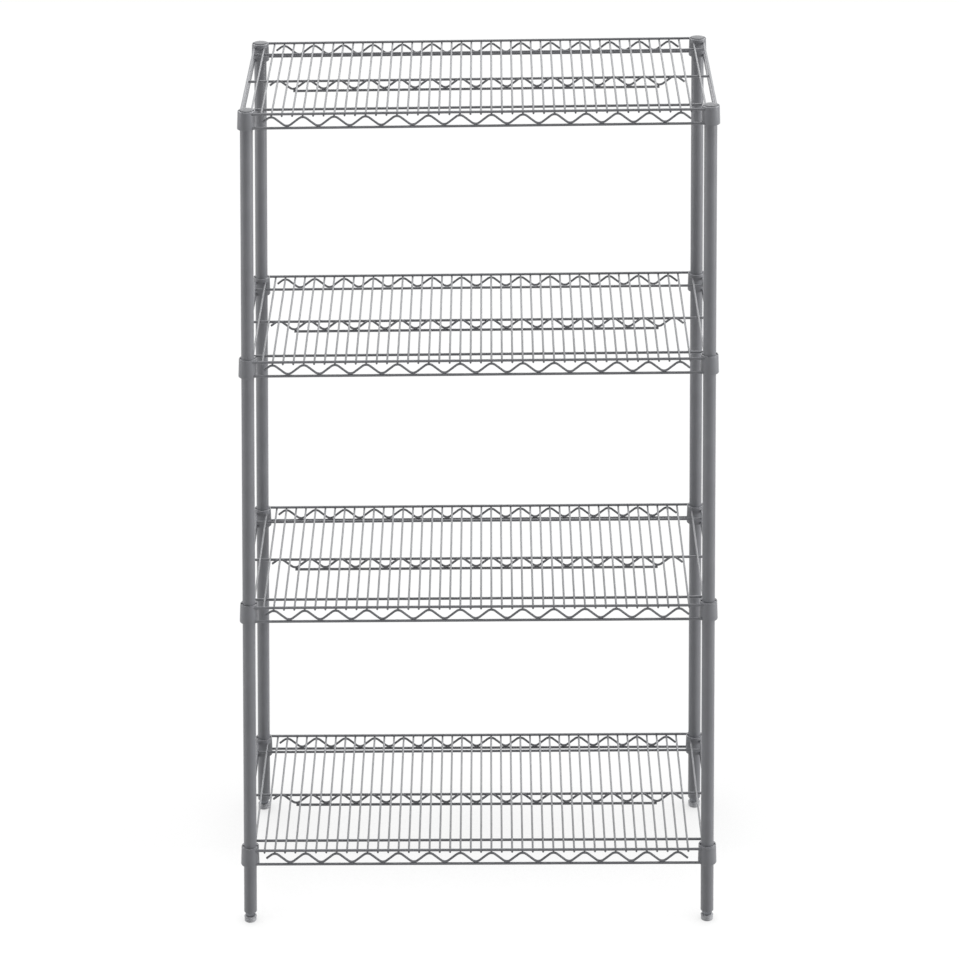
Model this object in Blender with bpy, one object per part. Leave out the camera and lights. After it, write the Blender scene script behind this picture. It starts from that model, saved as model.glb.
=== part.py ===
import math

import bmesh
import bpy
from mathutils import Vector

for old_object in list(bpy.data.objects):
    bpy.data.objects.remove(old_object, do_unlink=True)

# Layout of the unit, in metres: X along the shelves, Y from front to back, Z up from the floor.
POST_SPACING_X = 0.8776
POST_SPACING_Y = 0.4198
SHELF_PITCH = 0.4826
FIRST_SHELF_Z = 0.1443          # centre of the rim rod of the lowest shelf

# Touching pieces stay this far apart, and welded wires sink this far into each other.
SEAT_GAP = 0.0003
WELD_SINK = 0.00045

# Posts: steel tube, closed at the top by a push-in cap.
POST_DIAMETER = 0.0247
POST_WALL = 0.0012
POST_BOTTOM_Z = 0.0183
POST_RISE = 0.0041              # post above the rim rod of the top shelf
CAP_THICKNESS = 0.0019
CAP_CROWN_WIDTH = 0.0150
CAP_SKIRT_DEPTH = 0.0100

# Wire shelf: rods, thin cross wires and the wave wire that braces each truss.
ROD_DIAMETER = 0.0048
WIRE_DIAMETER = 0.0032
WAVE_DIAMETER = 0.0036
WIRE_SPACING = 0.01982
WIRES_PER_WAVE = 3
MAT_SHIFT_X = -0.0043           # the wire mat lies a little left of the posts' middle
RIM_INSET = 0.00525             # rim and side rods inside the outer face of the collars
TRUSS_HEIGHT = 0.0270           # rim rod to lower rod
CENTRE_ROD_Y = 0.0027           # the centre rod lies behind its wave wire
EDGE_ROD_INSET = 0.0505         # lengthwise rod behind the rim rod
WIRE_OVERHANG = 0.0010          # cross wires past the centre of the rim rod
WAVE_CREST = 0.0042             # half the length of each crest and trough
WAVE_TAIL_LEFT = 0.0160         # last peak to the end of the wave wire
WAVE_TAIL_RIGHT = 0.0190

# Collars welded to the corners of each shelf, and the split sleeves they wedge on.
COLLAR_ABOVE_RIM = 0.0041
COLLAR_HEIGHT = 0.0348
COLLAR_TAPER = 0.0023           # diameter gained from top to bottom
COLLAR_WALL = 0.0018
COLLAR_CHAMFER = 0.0012
SLEEVE_WALL = 0.00195           # at the top of the sleeve
SLEEVE_SLIT = 0.0016
SLEEVE_DROP = 0.0020            # sleeve ends inside the ends of the collar

# Levelling feet: a plug in the post, a threaded stem with a hexagon, a swivel pad.
PLUG_LENGTH = 0.0240
STEM_DIAMETER = 0.0080
STEM_LENGTH = 0.0260
HEX_INSET = 0.0042              # flats of the hexagon inside the outer face of the post
PAD_HEIGHT = 0.0105
PAD_TOP_DIAMETER = 0.0190
PAD_DIAMETER = 0.0240
PAD_FOOT_DIAMETER = 0.0222
PAD_SHOULDER = 0.0033
SPIGOT_DIAMETER = 0.0060
SPIGOT_DEPTH = 0.0040

ROUND_SIDES = 10
ROD_SIDES = 6
WIRE_SIDES = 3

SHELVES = ("shelf_1", "shelf_2", "shelf_3", "shelf_4")
CORNERS = (
    ("front_left", -1, -1),
    ("front_right", 1, -1),
    ("back_left", -1, 1),
    ("back_right", 1, 1),
)


# Corners of the polygon that stands for a round section lie a little outside it, its flats a little inside.
def corner_radius(diameter, sides):
    return diameter / 2 * (2 * math.pi / (sides * math.sin(2 * math.pi / sides))) ** 0.25


def flat_radius(diameter, sides):
    return corner_radius(diameter, sides) * math.cos(math.pi / sides)


# Rods have a corner up and down and flats to the sides; wires and waves have a flat on top and a corner below.
rod_up = corner_radius(ROD_DIAMETER, ROD_SIDES)
rod_flat = flat_radius(ROD_DIAMETER, ROD_SIDES)
wire_top = flat_radius(WIRE_DIAMETER, WIRE_SIDES)
wire_bottom = corner_radius(WIRE_DIAMETER, WIRE_SIDES)
wave_top = flat_radius(WAVE_DIAMETER, WIRE_SIDES)
wave_bottom = corner_radius(WAVE_DIAMETER, WIRE_SIDES)
wave_side = wave_bottom * math.sin(math.pi / WIRE_SIDES)
wave_inset = WELD_SINK / 2      # a wave stands just beside the top line of its lower rod
post_x = POST_SPACING_X / 2
post_y = POST_SPACING_Y / 2
collar_head = POST_DIAMETER + 2 * (SLEEVE_WALL + COLLAR_WALL + 2 * SEAT_GAP)
collar_foot = collar_head + COLLAR_TAPER
rim_offset = collar_head / 2 - RIM_INSET
truss_y = post_y + rim_offset
side_x = post_x + rim_offset

# Heights inside a shelf, measured from the centre of its rim rod.
wire_z = -(rod_up + SEAT_GAP + wire_top)
centre_rod_z = wire_z - wire_bottom - rod_up + WELD_SINK
edge_rod_z = wire_z - wire_bottom - rod_up - SEAT_GAP
side_rod_z = edge_rod_z + 2 * rod_up - WELD_SINK
lower_rod_z = -TRUSS_HEIGHT
peak_z = wire_z - wire_bottom - SEAT_GAP - wave_top
trough_z = lower_rod_z + rod_up + SEAT_GAP + wave_bottom
welded_trough_z = trough_z - SEAT_GAP - WELD_SINK
collar_top_z = COLLAR_ABOVE_RIM
collar_bottom_z = COLLAR_ABOVE_RIM - COLLAR_HEIGHT
top_rim_z = FIRST_SHELF_Z + SHELF_PITCH * (len(SHELVES) - 1)
post_top_z = top_rim_z + POST_RISE

# Full cross wires stand clear of the collars; one end wire more on each side runs from collar to collar.
clear_x = post_x - collar_foot / 2 - WIRE_DIAMETER - abs(MAT_SHIFT_X)
wires_each_side = int(clear_x / WIRE_SPACING + 0.5)
wire_steps = [i + 0.5 for i in range(-wires_each_side, wires_each_side)]
waves_each_side = int((wires_each_side - 0.5) / WIRES_PER_WAVE + 0.5)
wave_length = WIRES_PER_WAVE * WIRE_SPACING
peak_xs = [MAT_SHIFT_X + (i + 0.5) * wave_length for i in range(-waves_each_side, waves_each_side)]
trough_xs = [(a + b) / 2 for a, b in zip(peak_xs, peak_xs[1:])]


# A wire of regular section along a path that bends in one plane.
def sweep(path, normal, diameter, sides, first=0.5):
    points = [Vector(p) for p in path]
    normal = Vector(normal)
    corner = corner_radius(diameter, sides)
    mesh = bmesh.new()
    rings = []
    for i, point in enumerate(points):
        into = (point - points[max(i - 1, 0)]).normalized()
        out = (points[min(i + 1, len(points) - 1)] - point).normalized()
        along = (into + out).normalized()
        widen = 1 / along.dot(out if i == 0 else into)
        side = along.cross(normal) * widen
        ring = []
        for k in range(sides):
            angle = 2 * math.pi * (k + first) / sides
            ring.append(mesh.verts.new(point + (normal * math.cos(angle) + side * math.sin(angle)) * corner))
        rings.append(ring)
    for a, b in zip(rings, rings[1:]):
        for k in range(sides):
            j = (k + 1) % sides
            mesh.faces.new((a[k], a[j], b[j], b[k]))
    mesh.faces.new(rings[0])
    mesh.faces.new(rings[-1])
    bmesh.ops.recalc_face_normals(mesh, faces=mesh.faces)
    return mesh


# A turned piece about a vertical axis; a profile that starts and ends on the axis is solid.
def turn(profile, sides, at=(0, 0), first=0.5):
    mesh = bmesh.new()
    grow = corner_radius(2, sides)
    rings = []
    for radius, z in profile:
        if radius == 0:
            rings.append([mesh.verts.new((at[0], at[1], z))])
            continue
        ring = []
        for k in range(sides):
            angle = 2 * math.pi * (k + first) / sides
            x = at[0] + radius * grow * math.cos(angle)
            y = at[1] + radius * grow * math.sin(angle)
            ring.append(mesh.verts.new((x, y, z)))
        rings.append(ring)
    pairs = list(zip(rings, rings[1:]))
    if len(rings[0]) > 1:
        pairs.append((rings[-1], rings[0]))
    for a, b in pairs:
        for k in range(sides):
            j = (k + 1) % sides
            if len(a) == 1:
                mesh.faces.new((a[0], b[j], b[k]))
            elif len(b) == 1:
                mesh.faces.new((a[k], a[j], b[0]))
            else:
                mesh.faces.new((a[k], a[j], b[j], b[k]))
    bmesh.ops.recalc_face_normals(mesh, faces=mesh.faces)
    return mesh


# Welds solids into one body and cuts it, and gives back the finished mesh.
def weld(name, solids, cuts=()):
    scene = bpy.context.scene
    helpers = []
    for solid in list(solids) + list(cuts):
        data = bpy.data.meshes.new(name + "_blank")
        solid.to_mesh(data)
        solid.free()
        helper = bpy.data.objects.new(name + "_blank", data)
        helper.hide_render = True
        helper.display_type = "WIRE"
        scene.collection.objects.link(helper)
        helpers.append(helper)
    base = helpers[0]
    group = bpy.data.collections.new(name + "_welds")
    scene.collection.children.link(group)
    for helper in helpers[1:len(solids)]:
        group.objects.link(helper)
    if len(solids) > 1:
        join = base.modifiers.new("weld", "BOOLEAN")
        join.operation = "UNION"
        join.solver = "EXACT"
        join.operand_type = "COLLECTION"
        join.collection = group
    for helper in helpers[len(solids):]:
        cut = base.modifiers.new("cut", "BOOLEAN")
        cut.operation = "DIFFERENCE"
        cut.solver = "EXACT"
        cut.object = helper
    graph = bpy.context.evaluated_depsgraph_get()
    finished = bpy.data.meshes.new_from_object(base.evaluated_get(graph))
    finished.name = name
    for helper in helpers:
        data = helper.data
        bpy.data.objects.remove(helper, do_unlink=True)
        bpy.data.meshes.remove(data)
    bpy.data.collections.remove(group)
    return finished


def plain(name, solid):
    data = bpy.data.meshes.new(name)
    solid.to_mesh(data)
    solid.free()
    return data


def material(name, colour, roughness, metallic):
    made = bpy.data.materials.new(name)
    made.use_nodes = True
    shader = made.node_tree.nodes["Principled BSDF"]
    shader.inputs["Base Color"].default_value = (*colour, 1)
    shader.inputs["Roughness"].default_value = roughness
    shader.inputs["Metallic"].default_value = metallic
    return made


def place(name, data, look, location=(0, 0, 0), parent=None):
    made = bpy.data.objects.new(name, data)
    bpy.context.scene.collection.objects.link(made)
    if not data.materials:
        data.materials.append(look)
    made.location = location
    made.parent = parent
    data.shade_smooth()
    data.set_sharp_from_angle(angle=math.radians(40))
    return made


def empty(name, location):
    made = bpy.data.objects.new(name, None)
    bpy.context.scene.collection.objects.link(made)
    made.location = location
    return made


# Radius of the tapered bore at a height inside a shelf; the sleeve follows it at a gap.
def bore_radius(z):
    share = (collar_top_z - z) / COLLAR_HEIGHT
    outside = collar_head + COLLAR_TAPER * share
    return outside / 2 - COLLAR_WALL


# A tapered ring with a chamfer round its lower edge.
def collar(at):
    top = collar_head / 2
    bottom = collar_foot / 2
    profile = [(top, collar_top_z), (bottom, collar_bottom_z + COLLAR_CHAMFER)]
    profile += [(bottom - COLLAR_CHAMFER, collar_bottom_z), (bore_radius(collar_bottom_z), collar_bottom_z)]
    profile.append((bore_radius(collar_top_z), collar_top_z))
    return turn(profile, ROUND_SIDES, at)


# What the side rods and end wires are coped with: the outside of a collar and the gap round it.
def collar_cope(at):
    top = collar_head / 2 + SEAT_GAP
    bottom = collar_foot / 2 + SEAT_GAP
    high = collar_top_z + SEAT_GAP
    low = collar_bottom_z - SEAT_GAP
    return turn([(0, high), (top, high), (bottom, low), (0, low)], ROUND_SIDES, at)


# A lengthwise rod of the rim; each end is coped to the middle of the collar's wall.
def rim_rod(side, z):
    y = side * truss_y
    rod = sweep([(-post_x, y, z), (post_x, y, z)], (0, 1, 0), ROD_DIAMETER, ROD_SIDES)
    wall_middle = bore_radius(z) + COLLAR_WALL / 2
    for v in rod.verts:
        reach = math.sqrt(wall_middle ** 2 - (abs(v.co.y) - post_y) ** 2)
        v.co.x = math.copysign(post_x - reach, v.co.x)
    return rod


# The wave wire: flat crests under the cross wires joined by straight flanks, with a short tail at each end.
# Its first, middle and last troughs are welded to the lower rod.
def wave(y):
    welded = {0, len(trough_xs) // 2, len(trough_xs) - 1}
    middle = (peak_z + trough_z) / 2
    path = [(peak_xs[0] - WAVE_TAIL_LEFT, y, middle)]
    for i, x in enumerate(peak_xs):
        path += [(x - WAVE_CREST, y, peak_z), (x + WAVE_CREST, y, peak_z)]
        if i < len(trough_xs):
            z = welded_trough_z if i in welded else trough_z
            path += [(trough_xs[i] - WAVE_CREST, y, z), (trough_xs[i] + WAVE_CREST, y, z)]
    path.append((peak_xs[-1] + WAVE_TAIL_RIGHT, y, middle))
    return sweep(path, (0, 1, 0), WAVE_DIAMETER, WIRE_SIDES, 0.25)


# Rim rod, lower rod, wave wire and the two corner collars of one long side.
def edge_truss(name, side):
    solids = [collar((-post_x, side * post_y)), collar((post_x, side * post_y))]
    solids += [rim_rod(side, 0), rim_rod(side, lower_rod_z)]
    solids.append(wave(side * (truss_y - wave_inset)))
    return weld(name, solids)


# The middle wave wire lies against the front of the centre rod and stands on its own lower rod.
def centre_truss(name):
    y = CENTRE_ROD_Y - rod_flat - SEAT_GAP - wave_side
    rod_y = y - wave_inset
    ends = [(trough_xs[0], rod_y, lower_rod_z), (trough_xs[-1], rod_y, lower_rod_z)]
    return weld(name, [sweep(ends, (0, 1, 0), ROD_DIAMETER, ROD_SIDES), wave(y)])


# Cross wires over the centre rod and the two edge rods, closed at both ends by an end wire and a side rod.
def deck(name):
    edge_y = truss_y - EDGE_ROD_INSET
    rods = [(CENTRE_ROD_Y, centre_rod_z), (-edge_y, edge_rod_z), (edge_y, edge_rod_z)]
    solids = []
    reach = side_x + rod_flat / 2
    for y, z in rods:
        solids.append(sweep([(-reach, y, z), (reach, y, z)], (0, 1, 0), ROD_DIAMETER, ROD_SIDES))
    for x in (-side_x, side_x):
        path = [(x, -post_y, side_rod_z), (x, post_y, side_rod_z)]
        solids.append(sweep(path, (1, 0, 0), ROD_DIAMETER, ROD_SIDES))
    end_x = side_x - WIRE_SPACING
    lengths = [(MAT_SHIFT_X + step * WIRE_SPACING, truss_y + WIRE_OVERHANG) for step in wire_steps]
    lengths += [(-end_x, post_y), (end_x, post_y)]
    for x, length in lengths:
        path = [(x, -length, wire_z), (x, length, wire_z)]
        solids.append(sweep(path, (1, 0, 0), WIRE_DIAMETER, WIRE_SIDES, 0.75))
    copes = [collar_cope((sx * post_x, sy * post_y)) for _, sx, sy in CORNERS]
    return weld(name, solids, copes)


# Lower side rod, coped round the collars at both ends.
def side_rail(name, side):
    x = side * side_x
    solid = sweep([(x, -post_y, lower_rod_z), (x, post_y, lower_rod_z)], (1, 0, 0), ROD_DIAMETER, ROD_SIDES)
    copes = [collar_cope((side * post_x, y)) for y in (-post_y, post_y)]
    return weld(name, [solid], copes)


# Tapered sleeve, open along one slit so that it snaps round the post.
def sleeve(name):
    grow = flat_radius(2, ROUND_SIDES)
    high = collar_top_z - SLEEVE_DROP
    low = collar_bottom_z + SLEEVE_DROP
    inside = POST_DIAMETER / 2 + SEAT_GAP
    profile = [(bore_radius(high) - SEAT_GAP, high), (bore_radius(low) - SEAT_GAP, low)]
    profile += [(inside, low), (inside, high)]
    mesh = bmesh.new()
    stations = []
    for k in range(ROUND_SIDES + 2):
        ring = []
        for radius, z in profile:
            reach = radius * grow
            if k == 0 or k == ROUND_SIDES + 1:
                x, y = reach, SLEEVE_SLIT / 2 * (1 if k == 0 else -1)
            else:
                angle = 2 * math.pi * (k - 0.5) / ROUND_SIDES
                corner = reach / math.cos(math.pi / ROUND_SIDES)
                x, y = corner * math.cos(angle), corner * math.sin(angle)
            ring.append(mesh.verts.new((x, y, z)))
        stations.append(ring)
    for a, b in zip(stations, stations[1:]):
        for i in range(4):
            j = (i + 1) % 4
            mesh.faces.new((a[i], a[j], b[j], b[i]))
    mesh.faces.new(stations[0])
    mesh.faces.new(stations[-1])
    bmesh.ops.recalc_face_normals(mesh, faces=mesh.faces)
    return plain(name, mesh)


def post(name):
    outside = POST_DIAMETER / 2
    inside = outside - POST_WALL
    profile = [(outside, post_top_z), (outside, POST_BOTTOM_Z), (inside, POST_BOTTOM_Z), (inside, post_top_z)]
    return plain(name, turn(profile, ROUND_SIDES))


def cap(name):
    edge = POST_DIAMETER / 2
    skirt = edge - POST_WALL - SEAT_GAP
    low = post_top_z + SEAT_GAP
    high = low + CAP_THICKNESS
    end = low - CAP_SKIRT_DEPTH
    profile = [(0, high), (CAP_CROWN_WIDTH / 2, high), (edge, low + CAP_THICKNESS / 2)]
    profile += [(edge, low), (skirt, low), (skirt, end), (0, end)]
    return plain(name, turn(profile, ROUND_SIDES))


def foot_plug(name):
    outside = POST_DIAMETER / 2 - POST_WALL - SEAT_GAP
    bore = STEM_DIAMETER / 2 + SEAT_GAP
    top = POST_BOTTOM_Z + PLUG_LENGTH
    profile = [(outside, top), (outside, POST_BOTTOM_Z), (bore, POST_BOTTOM_Z), (bore, top)]
    return plain(name, turn(profile, ROUND_SIDES))


# Threaded stem with the hexagon that the post stands on and a spigot for the pad.
def leveller_stem(name):
    low = PAD_HEIGHT + SEAT_GAP
    high = POST_BOTTOM_Z - SEAT_GAP
    stem = STEM_DIAMETER / 2
    spigot = SPIGOT_DIAMETER / 2
    hexagon = (POST_DIAMETER / 2 - HEX_INSET) / flat_radius(2, 6)
    tip = high + STEM_LENGTH
    root = high - WELD_SINK
    peg_root = low + WELD_SINK
    peg_tip = low - SPIGOT_DEPTH
    nut = turn([(0, high), (hexagon, high), (hexagon, low), (0, low)], 6)
    shaft = turn([(0, tip), (stem, tip), (stem, root), (0, root)], ROUND_SIDES)
    peg = turn([(0, peg_root), (spigot, peg_root), (spigot, peg_tip), (0, peg_tip)], ROUND_SIDES)
    return weld(name, [nut, shaft, peg])


def leveller_pad(name):
    socket = SPIGOT_DIAMETER / 2 + SEAT_GAP
    floor = PAD_HEIGHT - SPIGOT_DEPTH
    profile = [(0, floor), (socket, floor), (socket, PAD_HEIGHT), (PAD_TOP_DIAMETER / 2, PAD_HEIGHT)]
    profile += [(PAD_DIAMETER / 2, PAD_HEIGHT - PAD_SHOULDER), (PAD_FOOT_DIAMETER / 2, 0), (0, 0)]
    return plain(name, turn(profile, ROUND_SIDES))


epoxy = material("grey_epoxy_wire", (0.180, 0.184, 0.194), 0.42, 0.0)
post_epoxy = material("grey_epoxy_post", (0.180, 0.184, 0.194), 0.40, 0.0)
sleeve_plastic = material("dark_sleeve_plastic", (0.085, 0.087, 0.093), 0.52, 0.0)
cap_plastic = material("grey_cap_plastic", (0.175, 0.178, 0.185), 0.48, 0.0)
plug_plastic = material("plug_plastic", (0.060, 0.061, 0.065), 0.55, 0.0)
zinc = material("zinc_plate", (0.170, 0.175, 0.185), 0.40, 1.0)
pad_plastic = material("grey_pad_plastic", (0.420, 0.425, 0.440), 0.50, 0.0)

# One set of meshes serves all four shelves; each shelf hangs on an empty at the height of its rim rod.
shelf_meshes = (
    ("deck", deck("deck")),
    ("front_truss", edge_truss("front_truss", -1)),
    ("back_truss", edge_truss("back_truss", 1)),
    ("centre_truss", centre_truss("centre_truss")),
    ("left_rail", side_rail("left_rail", -1)),
    ("right_rail", side_rail("right_rail", 1)),
)
sleeve_mesh = sleeve("sleeve")
for level, shelf in enumerate(SHELVES):
    rim_z = FIRST_SHELF_Z + SHELF_PITCH * level
    carrier = empty(shelf, (0, 0, rim_z))
    for piece, data in shelf_meshes:
        place(shelf + "_" + piece, data, epoxy, parent=carrier)
    for corner, sx, sy in CORNERS:
        at = (sx * post_x, sy * post_y, rim_z)
        made = place("sleeve_%d_%s" % (level + 1, corner), sleeve_mesh, sleeve_plastic, at)
        made.rotation_euler = (0, 0, 0 if sx < 0 else math.pi)

post_mesh = post("post")
cap_mesh = cap("cap")
plug_mesh = foot_plug("foot_plug")
stem_mesh = leveller_stem("leveller_stem")
pad_mesh = leveller_pad("leveller_pad")
for corner, sx, sy in CORNERS:
    at = (sx * post_x, sy * post_y, 0)
    place("post_" + corner, post_mesh, post_epoxy, at)
    place("cap_" + corner, cap_mesh, cap_plastic, at)
    place("foot_plug_" + corner, plug_mesh, plug_plastic, at)
    foot = empty("foot_" + corner, at)
    place("leveller_pad_" + corner, pad_mesh, pad_plastic, parent=foot)
    place("leveller_stem_" + corner, stem_mesh, zinc, parent=foot)
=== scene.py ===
import math
import bmesh
import bpy
from mathutils import Matrix, Vector


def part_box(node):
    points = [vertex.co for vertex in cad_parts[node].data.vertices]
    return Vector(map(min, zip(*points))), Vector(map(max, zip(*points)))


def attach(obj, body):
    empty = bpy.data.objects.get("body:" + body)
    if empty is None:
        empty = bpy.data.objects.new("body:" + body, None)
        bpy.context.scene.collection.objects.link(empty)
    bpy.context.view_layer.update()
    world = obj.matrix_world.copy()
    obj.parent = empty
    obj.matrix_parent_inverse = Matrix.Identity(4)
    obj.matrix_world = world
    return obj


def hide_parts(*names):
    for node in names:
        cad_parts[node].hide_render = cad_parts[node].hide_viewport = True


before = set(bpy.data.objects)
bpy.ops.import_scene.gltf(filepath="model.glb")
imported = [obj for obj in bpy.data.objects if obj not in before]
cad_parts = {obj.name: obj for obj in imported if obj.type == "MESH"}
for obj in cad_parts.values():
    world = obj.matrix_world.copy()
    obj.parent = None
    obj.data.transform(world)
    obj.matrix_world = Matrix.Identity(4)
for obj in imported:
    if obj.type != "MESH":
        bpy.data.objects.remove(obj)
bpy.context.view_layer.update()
mm = 0.001  # sizes in the dictionaries are in millimetres
corners = ("front_left", "front_right", "back_left", "back_right")
print("frame loaded:", len(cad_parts), "solids")


# Places that the frame gives: the posts' centres and the height of each shelf's rim rod.
def postAt(corner):
    low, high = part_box("post_" + corner)
    return (low + high) / 2


collar = {"aboveRim": 4.1, "height": 34.8, "headRadius": 16.7, "footRadius": 17.85, "wall": 1.8,
          "edge": 0.5, "footEdge": 1.1, "innerEdge": 0.3, "sides": 56}
postX = postAt("front_right").x
postY = postAt("back_right").y
rimTops = [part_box("shelf_%d_front_truss" % level)[1].z for level in (1, 2, 3, 4)]
rimHeights = [top - collar["aboveRim"] * mm for top in rimTops]


# Mesh tools: tubes along a path, turned rings, lofts and rounded profiles.
def loft(mesh, rings, closed=False):
    made = [[mesh.verts.new(point) for point in ring] for ring in rings]
    pairs = list(zip(made, made[1:]))
    if closed:
        pairs.append((made[-1], made[0]))
    for a, b in pairs:
        for k in range(len(a)):
            j = (k + 1) % len(a)
            mesh.faces.new((a[k], a[j], b[j], b[k]))
    if not closed:
        mesh.faces.new(made[0])
        mesh.faces.new(made[-1])
    return made


def around(r, angle, z):
    return Vector((r * mm * math.cos(angle), r * mm * math.sin(angle), z * mm))


def tube(mesh, path, radii, across, sides):
    rings = []
    for i, point in enumerate(path):
        into = (point - path[max(i - 1, 0)]).normalized()
        out = (path[min(i + 1, len(path) - 1)] - point).normalized()
        along = (into + out).normalized()
        lift = along.cross(across)
        ring = []
        for k in range(sides):
            turn = math.tau * k / sides
            ring.append(point + (across * math.cos(turn) + lift * math.sin(turn)) * radii[i])
        rings.append(ring)
    return loft(mesh, rings)


# A straight wire whose sheared ends carry a small rounded edge under the coat.
endRound = 0.3  # share of the edge that is taken off a little way in


def straightWire(mesh, start, end, radius, across, sides, edge):
    along = (end - start).normalized()
    bend = edge * endRound
    path = [start, start + along * bend, start + along * edge]
    path += [end - along * edge, end - along * bend, end]
    radii = [radius - edge, radius - bend, radius, radius, radius - bend, radius - edge]
    tube(mesh, path, radii, across, sides)


# Rounds the corners of a profile given as (radius, height, corner rounding).
def rounded(profile, steps=4):
    points = []
    count = len(profile)
    for i, (r, z, bend) in enumerate(profile):
        here = Vector((r, z))
        if not bend:
            points.append(here)
            continue
        before = (Vector(profile[i - 1][:2]) - here).normalized()
        after = (Vector(profile[(i + 1) % count][:2]) - here).normalized()
        half = before.angle(after) / 2
        reach = bend / math.tan(half)
        centre = here + (before + after).normalized() * (bend / math.sin(half))
        first = here + before * reach - centre
        last = here + after * reach - centre
        for s in range(steps + 1):
            share = s / steps
            points.append(centre + (first * (1 - share) + last * share).normalized() * bend)
    return points


# Turns a profile into a ring, or into a part of a ring that runs from one angle to another.
def turned(mesh, profile, sides, start=0.0, end=math.tau):
    whole = end - start >= math.tau
    stops = sides if whole else sides + 1
    angles = [start + (end - start) * k / sides for k in range(stops)]
    loft(mesh, [[around(r, angle, z) for r, z in profile] for angle in angles], closed=whole)


# A turned piece that closes on its axis; the profile runs from the axis round to the axis.
def turnedSolid(mesh, profile, sides):
    angles = [math.tau * k / sides for k in range(sides)]
    loft(mesh, [[around(r, angle, z) for angle in angles] for r, z in profile[1:-1]])


sharpDegrees = 35  # edges that turn by more than this stay crisp


def finished(name, mesh):
    bmesh.ops.recalc_face_normals(mesh, faces=mesh.faces)
    data = bpy.data.meshes.new(name)
    mesh.to_mesh(data)
    mesh.free()
    data.shade_smooth()
    data.set_sharp_from_angle(angle=math.radians(sharpDegrees))
    return data


def place(name, data, finish, body, stands, at):
    piece = bpy.data.objects.new(name, data)
    bpy.context.scene.collection.objects.link(piece)
    piece.location = at
    if not data.materials:
        data.materials.append(finish)
    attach(piece, body)
    if stands:
        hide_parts(*stands)


# Materials
def linear(hexColour):
    channels = [int(hexColour[i:i + 2], 16) / 255 for i in (1, 3, 5)]
    return tuple(c / 12.92 if c <= 0.04045 else ((c + 0.055) / 1.055) ** 2.4 for c in channels) + (1.0,)


def perMetre(sizeMm):
    return 1 / (sizeMm * mm)


def addNode(tree, kind, settings, links):
    node = tree.nodes.new(kind)
    for key, value in settings.items():
        if key in node.inputs:
            node.inputs[key].default_value = value
        else:
            setattr(node, key, value)
    for key, source in links.items():
        tree.links.new(source, node.inputs[key])
    return node


def emptyMaterial(name):
    made = bpy.data.materials.new(name)
    made.use_nodes = True
    made.node_tree.nodes.clear()
    return made, made.node_tree


def objectSpace(tree):
    return addNode(tree, "ShaderNodeTexCoord", {}, {}).outputs["Object"]


def noise(tree, where, sizeMm, detail):
    settings = {"Scale": perMetre(sizeMm), "Detail": detail}
    return addNode(tree, "ShaderNodeTexNoise", settings, {"Vector": where})


# Two colours over a pattern; the ends say where on the pattern each one is reached.
def toneOver(tree, pattern, ends, colours):
    ramp = addNode(tree, "ShaderNodeValToRGB", {}, {"Fac": pattern})
    for k in (0, 1):
        ramp.color_ramp.elements[k].position = ends[k]
        ramp.color_ramp.elements[k].color = linear(colours[k])
    return ramp.outputs["Color"]


def roughOver(tree, pattern, rough):
    settings = {"To Min": rough[0], "To Max": rough[1]}
    return addNode(tree, "ShaderNodeMapRange", settings, {"Value": pattern}).outputs["Result"]


def bumpOver(tree, height, strength, depthMm):
    settings = {"Strength": strength, "Distance": depthMm * mm}
    return addNode(tree, "ShaderNodeBump", settings, {"Height": height}).outputs["Normal"]


def surface(tree, settings, colour, rough, normal):
    links = {"Base Color": colour, "Roughness": rough, "Normal": normal}
    shader = addNode(tree, "ShaderNodeBsdfPrincipled", settings, links)
    addNode(tree, "ShaderNodeOutputMaterial", {}, {"Surface": shader.outputs["BSDF"]})


# Epoxy powder coat: sprayed dry and baked on steel, it flows out to a faint orange peel with a soft sheen
# and lies a little paler where it is thicker. The flecks are drawn coarser than real.
coat = {"cloudDetail": 3.0, "speckDetail": 1.0, "peelDetail": 2.0, "ends": (0.3, 0.7), "ior": 1.5}


def powderCoat(name, look):
    made, tree = emptyMaterial(name)
    where = objectSpace(tree)
    cloud = noise(tree, where, look["cloudMm"], coat["cloudDetail"]).outputs["Fac"]
    speck = noise(tree, where, look["speckMm"], coat["speckDetail"]).outputs["Color"]
    peel = noise(tree, where, look["peelMm"], coat["peelDetail"]).outputs["Fac"]
    tone = toneOver(tree, cloud, coat["ends"], (look["thin"], look["thick"]))
    flecked = addNode(tree, "ShaderNodeMix", {"data_type": "RGBA", "blend_type": "SOFT_LIGHT"}, {})
    flecked.inputs["Factor"].default_value = look["speckShare"]
    tree.links.new(tone, flecked.inputs["A"])
    tree.links.new(speck, flecked.inputs["B"])
    rough = roughOver(tree, cloud, look["rough"])
    normal = bumpOver(tree, peel, look["peelStrength"], look["peelDepthMm"])
    surface(tree, {"IOR": coat["ior"], "Metallic": 0.0}, flecked.outputs["Result"], rough, normal)
    return made


# Moulded thermoplastic: an even body colour with a fine spark-eroded grain from the tool. The grain is drawn
# coarser than the real one, which is about a tenth of a millimetre.
moulded = {"flowDetail": 2.0, "ends": (0.35, 0.65), "grainStrength": 0.25}


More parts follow.
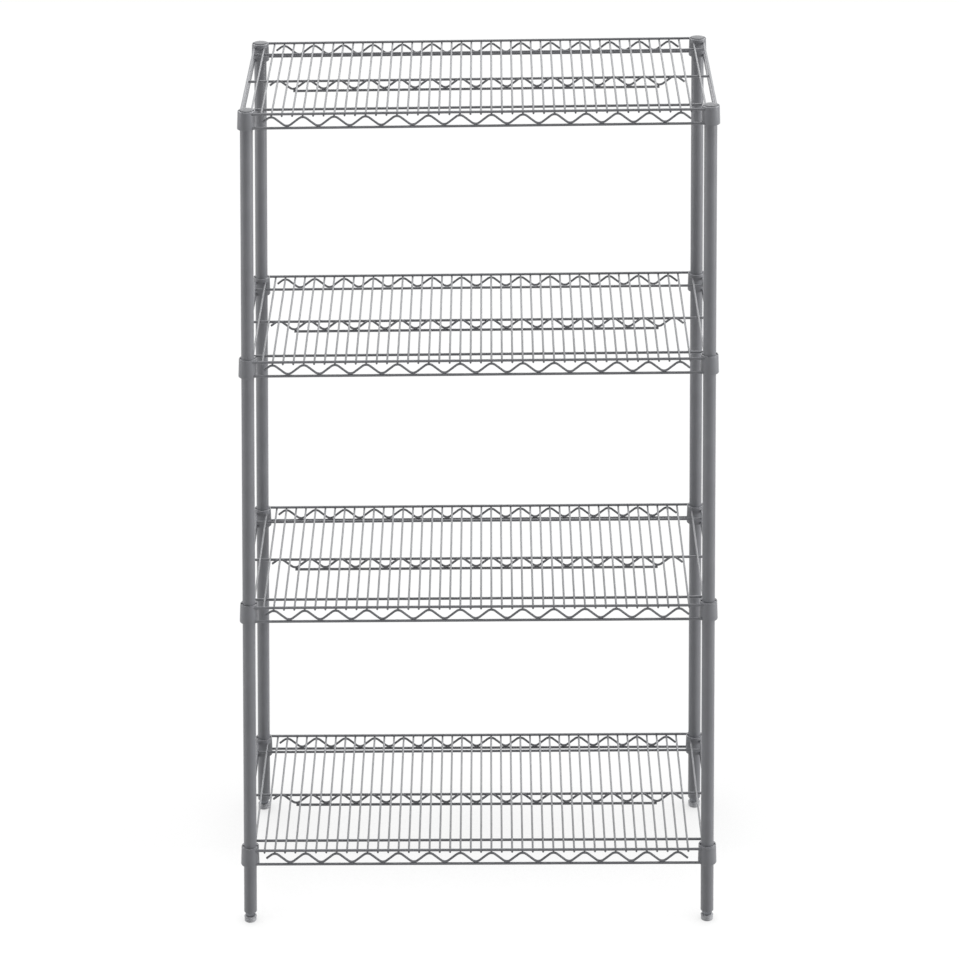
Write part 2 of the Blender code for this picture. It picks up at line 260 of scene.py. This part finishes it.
def mouldedPlastic(name, look):
    made, tree = emptyMaterial(name)
    where = objectSpace(tree)
    flow = noise(tree, where, look["flowMm"], moulded["flowDetail"]).outputs["Fac"]
    grain = addNode(tree, "ShaderNodeTexVoronoi", {"Scale": perMetre(look["grainMm"])}, {"Vector": where})
    tone = toneOver(tree, flow, moulded["ends"], (look["dark"], look["light"]))
    rough = roughOver(tree, flow, look["rough"])
    normal = bumpOver(tree, grain.outputs["Distance"], moulded["grainStrength"], look["grainDepthMm"])
    surface(tree, {"IOR": look["ior"], "Metallic": 0.0}, tone, rough, normal)
    return made


# Zinc plate on turned steel: a dull bluish metal with rings left by the tool and a cloudy passivated film.
# The rings are drawn coarser than a tool's feed of about 0.4 mm.
plated = {"filmDetail": 4.0, "ends": (0.3, 0.7), "ringWander": 0.6, "ringStrength": 0.15, "ringDepthMm": 0.02}
waveBands = 20 / math.tau  # bands that a wave texture of scale 1 draws on one metre


def zincPlate(name, look):
    made, tree = emptyMaterial(name)
    where = objectSpace(tree)
    film = noise(tree, where, look["filmMm"], plated["filmDetail"]).outputs["Fac"]
    bands = {"Scale": perMetre(look["ringMm"]) / waveBands, "bands_direction": "Z",
             "Distortion": plated["ringWander"]}
    rings = addNode(tree, "ShaderNodeTexWave", bands, {"Vector": where}).outputs["Fac"]
    tone = toneOver(tree, film, plated["ends"], (look["dull"], look["bright"]))
    rough = roughOver(tree, film, look["rough"])
    normal = bumpOver(tree, rings, plated["ringStrength"], plated["ringDepthMm"])
    surface(tree, {"Metallic": 1.0}, tone, rough, normal)
    return made


# The cross wires' coat is painted a little paler than that of the rods and waves: painted light, for the
# light on their tops.
crossWirePaintedLightCoat = powderCoat("epoxy powder coat on cross wires with painted top light", {
    "thin": "#757679", "thick": "#7f8083", "cloudMm": 40, "speckMm": 0.8, "speckShare": 0.12,
    "peelMm": 1.6, "peelStrength": 0.25, "peelDepthMm": 0.05, "rough": (0.36, 0.46)})
wireCoat = powderCoat("epoxy powder coat on drawn wire", {
    "thin": "#6d6e72", "thick": "#76777b", "cloudMm": 40, "speckMm": 0.8, "speckShare": 0.12,
    "peelMm": 1.6, "peelStrength": 0.25, "peelDepthMm": 0.05, "rough": (0.36, 0.46)})
tubeCoat = powderCoat("epoxy powder coat on steel tube", {
    "thin": "#747579", "thick": "#7c7d81", "cloudMm": 60, "speckMm": 0.8, "speckShare": 0.12,
    "peelMm": 2.4, "peelStrength": 0.25, "peelDepthMm": 0.06, "rough": (0.34, 0.44)})
# Painted light: the sleeve is painted paler than its own darker plastic, to lift the shade in the ring
# between post and collar.
sleevePaintedLightPlastic = mouldedPlastic("moulded acetal sleeve painted pale against shade", {
    "dark": "#939498", "light": "#9b9ca0", "flowMm": 12, "grainMm": 0.5, "grainDepthMm": 0.03,
    "rough": (0.45, 0.58), "ior": 1.48})
capPlastic = mouldedPlastic("moulded polyethylene cap", {
    "dark": "#636467", "light": "#6b6c6f", "flowMm": 9, "grainMm": 0.5, "grainDepthMm": 0.03,
    "rough": (0.5, 0.62), "ior": 1.51})
plugPlastic = mouldedPlastic("moulded nylon plug", {
    "dark": "#3c3d40", "light": "#434447", "flowMm": 10, "grainMm": 0.5, "grainDepthMm": 0.03,
    "rough": (0.45, 0.6), "ior": 1.53})
padPlastic = mouldedPlastic("moulded nylon foot pad", {
    "dark": "#a8a9ad", "light": "#b4b5b8", "flowMm": 8, "grainMm": 0.6, "grainDepthMm": 0.03,
    "rough": (0.42, 0.56), "ior": 1.53})
# Painted shade: the shoulder is the pad's own plastic, drawn a little darker for the shade under the post.
shoulderPaintedShadePlastic = mouldedPlastic("moulded nylon shoulder with painted shade", {
    "dark": "#9c9da1", "light": "#a6a7aa", "flowMm": 8, "grainMm": 0.6, "grainDepthMm": 0.03,
    "rough": (0.4, 0.52), "ior": 1.53})
stemZinc = zincPlate("zinc plate on turned steel", {
    "dull": "#6a6c70", "bright": "#7a7c80", "filmMm": 4, "ringMm": 2.513, "rough": (0.34, 0.48)})
print("materials made")

# Wire shelf. Heights are from the centre of the rim rod; neighbours are set into each other by the weld.
shelfWire = {"rod": 4.9, "wire": 3.8, "wave": 4.25, "weld": 0.5, "crestWeld": 1.7, "troughWeld": 0.2,
             "rodSides": 16, "wireSides": 12, "edge": 0.45,
             "fillet": 1.6, "filletGrow": 1.22, "filletMid": 0.35}
rodR = shelfWire["rod"] / 2 * mm
wireR = shelfWire["wire"] / 2 * mm
waveR = shelfWire["wave"] / 2 * mm
weld = shelfWire["weld"] * mm
edge = shelfWire["edge"] * mm
mat = {"spacing": 19.82, "count": 42, "shift": -4.3, "edgeInset": 50.5, "overhang": 1.0,
       "centreRodY": 2.7, "centreSink": 0.85}
truss = {"height": 27.0, "centreHeight": 26.7, "rimInset": 5.25, "bend": 12.0, "bendSteps": 6,
         "wiresPerWave": 3, "waves": 14, "tailLeft": 16.0, "tailRight": 19.0}
rimOffset = (collar["headRadius"] - truss["rimInset"]) * mm
trussY = postY + rimOffset
sideX = postX + rimOffset
edgeY = trussY - mat["edgeInset"] * mm
wireZ = -(rodR + wireR - weld)
deckRodZ = wireZ - (wireR + rodR - weld)
sideRodZ = deckRodZ + 2 * rodR - weld
lowerZ = -truss["height"] * mm
crestZ = wireZ - (wireR + waveR - shelfWire["crestWeld"] * mm)
alongX = Vector((1, 0, 0))
alongY = Vector((0, 1, 0))


def collarRadius(z):
    share = (collar["aboveRim"] * mm - z) / (collar["height"] * mm)
    return (collar["headRadius"] + (collar["footRadius"] - collar["headRadius"]) * share) * mm


# A rod welded to a collar at both ends: the coat pools to a small fillet there, and the end follows the
# face of the collar.
def weldedRod(mesh, start, end, radius, across, sides, sink):
    along = (end - start).normalized()
    axis = 0 if abs(along.x) > 0.5 else 1
    fillet = shelfWire["fillet"] * mm
    middle = shelfWire["filletMid"]
    steps = [0.0, middle * fillet, fillet]
    grow = [shelfWire["filletGrow"], 1 + (shelfWire["filletGrow"] - 1) * middle, 1.0]
    path = [start + along * s for s in steps] + [end - along * s for s in reversed(steps)]
    rings = tube(mesh, path, [radius * g for g in grow + grow[::-1]], across, sides)
    post = (postX, postY)
    for ring, step in zip(rings, steps + steps[::-1]):
        for v in ring:
            aside = abs(v.co[1 - axis]) - post[1 - axis]
            reach = math.sqrt((collarRadius(v.co.z) - sink) ** 2 - aside ** 2)
            v.co[axis] = math.copysign(post[axis] - reach - step, v.co[axis])


# Bent wave wire: round crests under the cross wires and round troughs on the lower rod, joined by straight
# flanks.
def wavePath(y, rodZ):
    length = truss["wiresPerWave"] * mat["spacing"] * mm
    bend = truss["bend"] * mm
    troughZ = rodZ + rodR + waveR - shelfWire["troughWeld"] * mm
    fall = crestZ - troughZ
    spare = 2 * bend - fall
    slope = math.asin(2 * bend / math.hypot(length / 2, spare)) - math.atan2(spare, length / 2)
    steps = truss["bendSteps"]
    turns = [slope * (2 * k / steps - 1) for k in range(steps + 1)]
    first = mat["shift"] * mm - (truss["waves"] - 1) / 2 * length
    path = []
    for i in range(truss["waves"]):
        x = first + i * length
        path += [Vector((x + bend * math.sin(t), y, crestZ - bend * (1 - math.cos(t)))) for t in turns]
        if i < truss["waves"] - 1:
            x += length / 2
            path += [Vector((x + bend * math.sin(t), y, troughZ + bend * (1 - math.cos(t)))) for t in turns]
    tails = []
    for point, reach, way in ((path[0], truss["tailLeft"], -1), (path[-1], truss["tailRight"], 1)):
        run = reach * mm - bend * math.sin(slope)
        tails.append(point + Vector((way * run, 0, -run * math.tan(slope))))
    return [tails[0]] + path + [tails[1]]


def waveWire(mesh, y, rodZ):
    path = wavePath(y, rodZ)
    first = (path[1] - path[0]).normalized()
    last = (path[-1] - path[-2]).normalized()
    path = [path[0], path[0] + first * edge] + path[1:-1] + [path[-1] - last * edge, path[-1]]
    radii = [waveR - edge, waveR] + [waveR] * (len(path) - 4) + [waveR, waveR - edge]
    tube(mesh, path, radii, alongY, shelfWire["wireSides"])


def edgeTruss(name, side):
    mesh = bmesh.new()
    y = side * trussY
    for z in (0.0, lowerZ):
        ends = [Vector((x, y, z)) for x in (-postX, postX)]
        weldedRod(mesh, ends[0], ends[1], rodR, alongY, shelfWire["rodSides"], collar["wall"] * mm / 2)
    waveWire(mesh, y, lowerZ)
    return finished(name, mesh)


def centreTruss(name):
    mesh = bmesh.new()
    y = mat["centreRodY"] * mm - rodR - waveR + weld
    length = truss["wiresPerWave"] * mat["spacing"] * mm
    reach = (truss["waves"] - 2) / 2 * length
    rodZ = -truss["centreHeight"] * mm
    ends = [Vector((mat["shift"] * mm + way * reach, y, rodZ)) for way in (-1, 1)]
    straightWire(mesh, ends[0], ends[1], rodR, alongY, shelfWire["rodSides"], edge)
    waveWire(mesh, y, rodZ)
    return finished(name, mesh)


def crossWires(name):
    mesh = bmesh.new()
    reach = trussY + mat["overhang"] * mm
    for i in range(mat["count"]):
        x = (mat["shift"] + (i - (mat["count"] - 1) / 2) * mat["spacing"]) * mm
        straightWire(mesh, Vector((x, -reach, wireZ)), Vector((x, reach, wireZ)), wireR, alongX,
                     shelfWire["wireSides"], edge)
    for way in (-1, 1):
        x = way * (sideX - mat["spacing"] * mm)
        weldedRod(mesh, Vector((x, -postY, wireZ)), Vector((x, postY, wireZ)), wireR, alongX,
                  shelfWire["wireSides"], weld)
    return finished(name, mesh)


def deckRods(name):
    mesh = bmesh.new()
    reach = sideX + rodR / 2
    centreZ = deckRodZ - mat["centreSink"] * mm
    for y, z in ((-edgeY, deckRodZ), (mat["centreRodY"] * mm, centreZ), (edgeY, deckRodZ)):
        straightWire(mesh, Vector((-reach, y, z)), Vector((reach, y, z)), rodR, alongY,
                     shelfWire["rodSides"], edge)
    for x in (-sideX, sideX):
        weldedRod(mesh, Vector((x, -postY, sideRodZ)), Vector((x, postY, sideRodZ)), rodR, alongX,
                  shelfWire["rodSides"], weld)
    return finished(name, mesh)


def sideRail(name, side):
    mesh = bmesh.new()
    x = side * sideX
    weldedRod(mesh, Vector((x, -postY, lowerZ)), Vector((x, postY, lowerZ)), rodR, alongX,
              shelfWire["rodSides"], weld)
    return finished(name, mesh)


# Tapered steel collar, rolled over at the rim and broken at its lower edge.
def collarRing(name):
    top = collar["aboveRim"]
    low = top - collar["height"]
    head = collar["headRadius"]
    base = collar["footRadius"]
    wall = collar["wall"]
    profile = [(head, top, collar["edge"]), (base, low, collar["footEdge"]),
               (base - wall, low, collar["innerEdge"]), (head - wall, top, collar["edge"])]
    mesh = bmesh.new()
    turned(mesh, rounded(profile), collar["sides"])
    return finished(name, mesh)


shelfMeshes = [
    ("crossWires", crossWires("crossWires"), ["deck"]),
    ("deckRods", deckRods("deckRods"), []),
    ("frontTruss", edgeTruss("frontTruss", -1), ["front_truss"]),
    ("backTruss", edgeTruss("backTruss", 1), ["back_truss"]),
    ("centreTruss", centreTruss("centreTruss"), ["centre_truss"]),
    ("leftRail", sideRail("leftRail", -1), ["left_rail"]),
    ("rightRail", sideRail("rightRail", 1), ["right_rail"]),
]
collarMesh = collarRing("collar")
for level, rimZ in enumerate(rimHeights, 1):
    body = "shelf_%d" % level
    for piece, data, nodes in shelfMeshes:
        stands = [body + "_" + node for node in nodes]
        # Painted light: the cross wires take the paler coat, for the light that falls on their tops.
        finish = crossWirePaintedLightCoat if piece == "crossWires" else wireCoat
        place("%s_%d" % (piece, level), data, finish, body, stands, (0, 0, rimZ))
    for corner in corners:
        at = postAt(corner)
        name = "collar_%d_%s" % (level, corner)
        place(name, collarMesh, tubeCoat, body, [], (at.x, at.y, rimZ))
print("shelves made:", len(rimHeights))

# Posts, the caps in their tops and the split sleeves that the collars wedge on.
postTube = {"radius": 12.35, "wall": 1.2, "edge": 0.35, "sides": 56}
sleeve = {"drop": 0.1, "lowerDrop": 2.0, "gap": 0.15, "slit": 5.0, "edge": 0.35, "sides": 24}
cap = {"rise": 1.9, "crown": 7.5, "crownMid": 3.75, "crownMidFall": 0.08, "crownFall": 0.3, "rimFall": 0.855,
       "skirt": 10.0, "skirtWall": 1.5, "edge": 0.5, "seatEdge": 0.15, "sides": 56}
softSteps = 3  # facets of a rounding that is under a millimetre


def postMesh(name):
    low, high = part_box("post_front_left")
    bottom = low.z / mm
    top = high.z / mm
    outside = postTube["radius"]
    inside = outside - postTube["wall"]
    soft = postTube["edge"]
    profile = [(outside, top, soft), (outside, bottom, soft), (inside, bottom, soft), (inside, top, soft)]
    mesh = bmesh.new()
    turned(mesh, rounded(profile), postTube["sides"])
    return finished(name, mesh)


# Two half shells round the post, with a dark gap between them at the left and right.
def sleeveMesh(name):
    top = collar["aboveRim"] - sleeve["drop"]
    low = collar["aboveRim"] - collar["height"] + sleeve["lowerDrop"]
    headOut = collarRadius(top * mm) / mm - collar["wall"] - sleeve["gap"]
    footOut = collarRadius(low * mm) / mm - collar["wall"] - sleeve["gap"]
    inside = postTube["radius"] + sleeve["gap"]
    soft = sleeve["edge"]
    profile = [(headOut, top, soft), (footOut, low, soft), (inside, low, soft), (inside, top, soft)]
    gap = sleeve["slit"] / 2 / inside
    mesh = bmesh.new()
    for side in (0, math.pi):
        turned(mesh, rounded(profile, softSteps), sleeve["sides"], side + gap, side + math.pi - gap)
    return finished(name, mesh)


def capMesh(name):
    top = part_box("cap_front_left")[1].z / mm
    seat = top - cap["rise"]
    outside = postTube["radius"]
    skirt = outside - postTube["wall"] - sleeve["gap"]
    crownZ = top - cap["crownFall"]
    dome = [(0, top), (cap["crownMid"], top - cap["crownMidFall"]), (cap["crown"], crownZ)]
    rim = rounded([(cap["crown"], crownZ, 0), (outside, top - cap["rimFall"], cap["edge"]),
                   (outside, seat, cap["seatEdge"]), (skirt, seat, 0)], softSteps)
    inner = skirt - cap["skirtWall"]
    hollow = [(skirt, seat - cap["skirt"]), (inner, seat - cap["skirt"]), (inner, seat), (0, seat)]
    mesh = bmesh.new()
    turnedSolid(mesh, dome + [tuple(p) for p in rim[1:]] + hollow, cap["sides"])
    return finished(name, mesh)


tubeMesh = postMesh("postTube")
ringMesh = sleeveMesh("sleeveRing")
lidMesh = capMesh("postCap")
for corner in corners:
    at = postAt(corner)
    spot = (at.x, at.y, 0)
    place("postTube_" + corner, tubeMesh, tubeCoat, "frame", ["post_" + corner], spot)
    place("postCap_" + corner, lidMesh, capPlastic, "frame", ["cap_" + corner], spot)
    for level, rimZ in enumerate(rimHeights, 1):
        name = "%d_%s" % (level, corner)
        place("sleeveRing_" + name, ringMesh, sleevePaintedLightPlastic, "frame", ["sleeve_" + name],
              (at.x, at.y, rimZ))
print("posts, caps and sleeves made")

# Levelling feet: a plug in the post, a threaded stem with a hexagon, and a pad that swivels on it.
plug = {"clear": 0.3, "bore": 4.3, "topEdge": 0.5, "footEdge": 0.4, "boreEdge": 0.3, "sides": 48}
hexagon = {"flat": 16.3, "soft": 0.8, "chamfer": 0.7, "chamferRise": 0.58, "clear": 0.3}
screw = {"wide": 8.0, "pitch": 1.5, "depth": 0.75, "crest": 0.12, "sides": 28, "stepsPerTurn": 10,
         "overlap": 0.4, "tipFade": 1.0, "runOut": 1.5, "leastFade": 0.3, "tipRound": 0.6, "tipLength": 0.8}
spigot = {"wide": 6.0, "edge": 0.5, "play": 0.3, "sides": 32}
pad = {"top": 19.0, "wide": 24.0, "foot": 23.0, "shoulder": 3.3, "step": 0.5, "seamEdge": 0.2,
       "footEdge": 0.7, "middle": 1.0, "steps": 5, "sides": 56}
shoulder = {"lift": 0.05, "rise": 1.3, "mouthEdge": 0.2, "topEdge": 0.5, "coneEdge": 0.6, "seamEdge": 0.3,
            "innerEdge": 0.1, "steps": 4}


def plugMesh(name):
    low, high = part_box("foot_plug_front_left")
    outside = postTube["radius"] - postTube["wall"] - plug["clear"]
    bottom = low.z / mm
    top = high.z / mm
    profile = [(outside, top, plug["topEdge"]), (outside, bottom, plug["footEdge"]),
               (plug["bore"], bottom, plug["footEdge"]), (plug["bore"], top, plug["boreEdge"])]
    mesh = bmesh.new()
    turned(mesh, rounded(profile, softSteps), plug["sides"])
    return finished(name, mesh)


# Hexagon with softened corners, given as a ring at a height and an inset.
def hexRing(z, inset):
    flat = hexagon["flat"] / 2 - inset
    soft = hexagon["soft"]
    sixth = math.pi / 3
    centre = (flat - soft) / math.cos(sixth / 2)
    ring = []
    for k in range(6):
        for s in (-1, -0.5, 0, 0.5, 1):
            angle = sixth * k + sixth / 2 * s
            x = centre * math.cos(sixth * k) + soft * math.cos(angle)
            y = centre * math.sin(sixth * k) + soft * math.sin(angle)
            ring.append(Vector((x * mm, y * mm, z * mm)))
    return ring


# Screw thread from the hexagon to the tip; it runs out at both ends, and the tip is rounded.
def threadRings(start, seat, tip):
    count = int((tip - start) / screw["pitch"] * screw["stepsPerTurn"])
    rings = []
    for i in range(count + 1):
        z = start + (tip - start) * i / count
        fade = min(1.0, (tip - z) / screw["tipFade"], (z - seat) / screw["runOut"] + screw["leastFade"])
        ring = []
        for k in range(screw["sides"]):
            share = (z / screw["pitch"] - k / screw["sides"]) % 1.0
            groove = 1 - abs(2 * share - 1)
            r = screw["wide"] / 2 - screw["depth"] * max(0.0, groove - screw["crest"]) * max(fade, 0.0)
            r -= screw["tipRound"] * max(0.0, 1 - (tip - z) / screw["tipLength"])
            ring.append(around(r, math.tau * k / screw["sides"], z))
        rings.append(ring)
    return rings


def stemMesh(name):
    low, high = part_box("leveller_stem_front_left")
    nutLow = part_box("leveller_pad_front_left")[1].z / mm + hexagon["clear"]
    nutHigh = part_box("post_front_left")[0].z / mm - hexagon["clear"]
    tip = high.z / mm
    peg = low.z / mm
    chamfer = hexagon["chamfer"]
    rise = chamfer * hexagon["chamferRise"]
    mesh = bmesh.new()
    loft(mesh, [hexRing(nutLow, chamfer), hexRing(nutLow + rise, 0), hexRing(nutHigh - rise, 0),
                hexRing(nutHigh, chamfer)])
    loft(mesh, threadRings(nutHigh - screw["overlap"], nutHigh, tip))
    half = spigot["wide"] / 2
    root = nutLow + screw["overlap"]
    soft = spigot["edge"]
    pegProfile = [(0, root), (half, root), (half, peg + soft), (half - soft, peg), (0, peg)]
    turnedSolid(mesh, pegProfile, spigot["sides"])
    return finished(name, mesh)


def padMesh(name):
    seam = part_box("leveller_pad_front_left")[1].z / mm - pad["shoulder"]
    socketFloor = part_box("leveller_stem_front_left")[0].z / mm - spigot["play"]
    socket = spigot["wide"] / 2 + spigot["play"]
    side = pad["wide"] / 2 - pad["step"]
    profile = [(socket, socketFloor, 0), (socket, seam, 0), (side, seam, pad["seamEdge"]),
               (pad["foot"] / 2, 0.0, pad["footEdge"]), (pad["middle"], 0.0, 0)]
    points = [(0, socketFloor)] + [tuple(p) for p in rounded(profile, pad["steps"])] + [(0, 0.0)]
    mesh = bmesh.new()
    turnedSolid(mesh, points, pad["sides"])
    return finished(name, mesh)


# The pad's shoulder: a cone over the pad's top, which the hexagon stands on. It is painted a little darker
# than the pad: painted shade, for the shade under the post.
def shoulderMesh(name):
    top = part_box("leveller_pad_front_left")[1].z / mm
    seam = top - pad["shoulder"] + shoulder["lift"]
    socket = spigot["wide"] / 2 + spigot["play"]
    wide = pad["wide"] / 2
    profile = [(socket, top, shoulder["mouthEdge"]), (pad["top"] / 2, top, shoulder["topEdge"]),
               (wide, seam + shoulder["rise"], shoulder["coneEdge"]), (wide, seam, shoulder["seamEdge"]),
               (socket, seam, shoulder["innerEdge"])]
    mesh = bmesh.new()
    turned(mesh, rounded(profile, shoulder["steps"]), pad["sides"])
    return finished(name, mesh)


insertMesh = plugMesh("footPlug")
screwMesh = stemMesh("levellerScrew")
shoeMesh = padMesh("levellerShoe")
coneMesh = shoulderMesh("levellerShoulder")
for corner in corners:
    at = postAt(corner)
    spot = (at.x, at.y, 0)
    place("footPlug_" + corner, insertMesh, plugPlastic, "frame",
          ["foot_plug_" + corner], spot)
    place("levellerScrew_" + corner, screwMesh, stemZinc, "stem_" + corner,
          ["leveller_stem_" + corner], spot)
    place("levellerShoe_" + corner, shoeMesh, padPlastic, "pad_" + corner,
          ["leveller_pad_" + corner], spot)
    place("levellerShoulder_" + corner, coneMesh, shoulderPaintedShadePlastic, "pad_" + corner,
          [], spot)
print("levelling feet made")


# True for rays that look straight at the studio: the eye's own, mirrored ones and ones through a clear
# piece.
def seenPlainly(tree):
    path = addNode(tree, "ShaderNodeLightPath", {}, {})
    eye = addNode(tree, "ShaderNodeMath", {"operation": "MAXIMUM"},
                  {0: path.outputs["Is Camera Ray"], 1: path.outputs["Is Glossy Ray"]})
    both = addNode(tree, "ShaderNodeMath", {"operation": "MAXIMUM"},
                   {0: eye.outputs[0], 1: path.outputs["Is Transmission Ray"]})
    return both.outputs[0]


# White studio floor: it shows white to the camera and in reflections. A small share of it takes the lamps'
# shadow. Close under the unit it has painted shade, drawn from an occlusion pattern into its glow, and
# painted light makes it brighter towards the front. Its glow is above 1 to make up for the share that takes
# the shadow.
floor = {"size": 40.0, "tone": "#cacaca", "glow": (1.07, 1.18), "turnsBright": (0.06, -0.14),
         "shadowShare": 0.15, "shadeReach": 0.18, "shadeLeast": 0.5, "shadeSamples": 6}


def studioFloor():
    mesh = bmesh.new()
    half = floor["size"] / 2
    outline = ((-half, -half), (half, -half), (half, half), (-half, half))
    mesh.faces.new([mesh.verts.new((x, y, 0)) for x, y in outline])
    data = bpy.data.meshes.new("studioFloor")
    mesh.to_mesh(data)
    mesh.free()
    made, tree = emptyMaterial("white studio paper")
    paper = addNode(tree, "ShaderNodeBsdfDiffuse", {"Color": linear(floor["tone"])}, {})
    depth = addNode(tree, "ShaderNodeSeparateXYZ", {}, {"Vector": objectSpace(tree)})
    # Painted light: the glow rises towards the front of the floor.
    lit = addNode(tree, "ShaderNodeMapRange", {
        "From Min": floor["turnsBright"][0], "From Max": floor["turnsBright"][1],
        "To Min": floor["glow"][0], "To Max": floor["glow"][1]}, {"Value": depth.outputs["Y"]})
    # Painted shade: an occlusion pattern darkens the glow close under the unit.
    under = addNode(tree, "ShaderNodeAmbientOcclusion",
                    {"samples": floor["shadeSamples"], "Distance": floor["shadeReach"]}, {})
    shade = addNode(tree, "ShaderNodeMapRange", {"To Min": floor["shadeLeast"]},
                    {"Value": under.outputs["AO"]})
    glow = addNode(tree, "ShaderNodeEmission", {},
                   {"Color": shade.outputs["Result"], "Strength": lit.outputs["Result"]})
    share = addNode(tree, "ShaderNodeMath", {"operation": "MULTIPLY"}, {0: seenPlainly(tree)})
    share.inputs[1].default_value = 1 - floor["shadowShare"]
    mixed = addNode(tree, "ShaderNodeMixShader", {},
                    {0: share.outputs[0], 1: paper.outputs[0], 2: glow.outputs[0]})
    addNode(tree, "ShaderNodeOutputMaterial", {}, {"Surface": mixed.outputs[0]})
    data.materials.append(made)
    piece = bpy.data.objects.new("studioFloor", data)
    bpy.context.scene.collection.objects.link(piece)


# Far scrims: a wide one overhead and behind, and two narrower low ones at the sides, fuller at the right.
lamps = {
    "overhead": {"from": (0.12, 0.58, 1.0), "level": 3.4, "spread": 104},
    "right": {"from": (0.975, -0.16, 0.10), "level": 2.4, "spread": 24},
    "left": {"from": (-0.985, -0.05, 0.05), "level": 1.2, "spread": 14},
}
lampDistance = 4  # metres
room = {"fill": 0.165}


def studioLight():
    for name, lamp in lamps.items():
        data = bpy.data.lights.new(name + "Scrim", "SUN")
        data.energy = lamp["level"]
        data.angle = math.radians(lamp["spread"])
        made = bpy.data.objects.new(name + "Scrim", data)
        bpy.context.scene.collection.objects.link(made)
        made.location = Vector(lamp["from"]) * lampDistance
        made.rotation_euler = Vector(lamp["from"]).to_track_quat("Z", "Y").to_euler()
    world = bpy.data.worlds.new("studioRoom")
    bpy.context.scene.world = world
    world.use_nodes = True
    tree = world.node_tree
    tree.nodes.clear()
    level = addNode(tree, "ShaderNodeMapRange", {"To Min": room["fill"], "To Max": 1.0},
                    {"Value": seenPlainly(tree)})
    sky = addNode(tree, "ShaderNodeBackground", {"Color": (1, 1, 1, 1)},
                  {"Strength": level.outputs["Result"]})
    addNode(tree, "ShaderNodeOutputWorld", {}, {"Surface": sky.outputs[0]})


# Camera. The photograph is straightened: its upright edges run parallel, as with a risen lens, so its
# picture axes stand a little out of square to the line of sight. The stand carries that; nothing is shifted
# in the lens.
view = {
    "eye": (0.014701, -6.763135, 3.752076),
    "right": (0.999120, 0.034811, -0.023402),
    "up": (0.000117, 0.076855, 0.997042),
    "back": (0.001685, -0.915474, 0.402374),
    "lensMm": 140.975,
    "sensorMm": 36.0,
    "farthest": 60.0,
}


def photoCamera():
    data = bpy.data.cameras.new("photoCamera")
    data.lens = view["lensMm"]
    data.sensor_width = view["sensorMm"]
    data.clip_end = view["farthest"]
    camera = bpy.data.objects.new("photoCamera", data)
    stand = bpy.data.objects.new("cameraStand", None)
    for made in (camera, stand):
        bpy.context.scene.collection.objects.link(made)
    axes = [view["right"], view["up"], view["back"], view["eye"]]
    camera.parent = stand
    camera.matrix_parent_inverse = Matrix([[axis[i] for axis in axes] for i in range(3)] + [[0, 0, 0, 1]])
    bpy.context.scene.camera = camera


studioFloor()
studioLight()
photoCamera()
bpy.context.scene.view_settings.view_transform = "Standard"
print("studio and camera made")
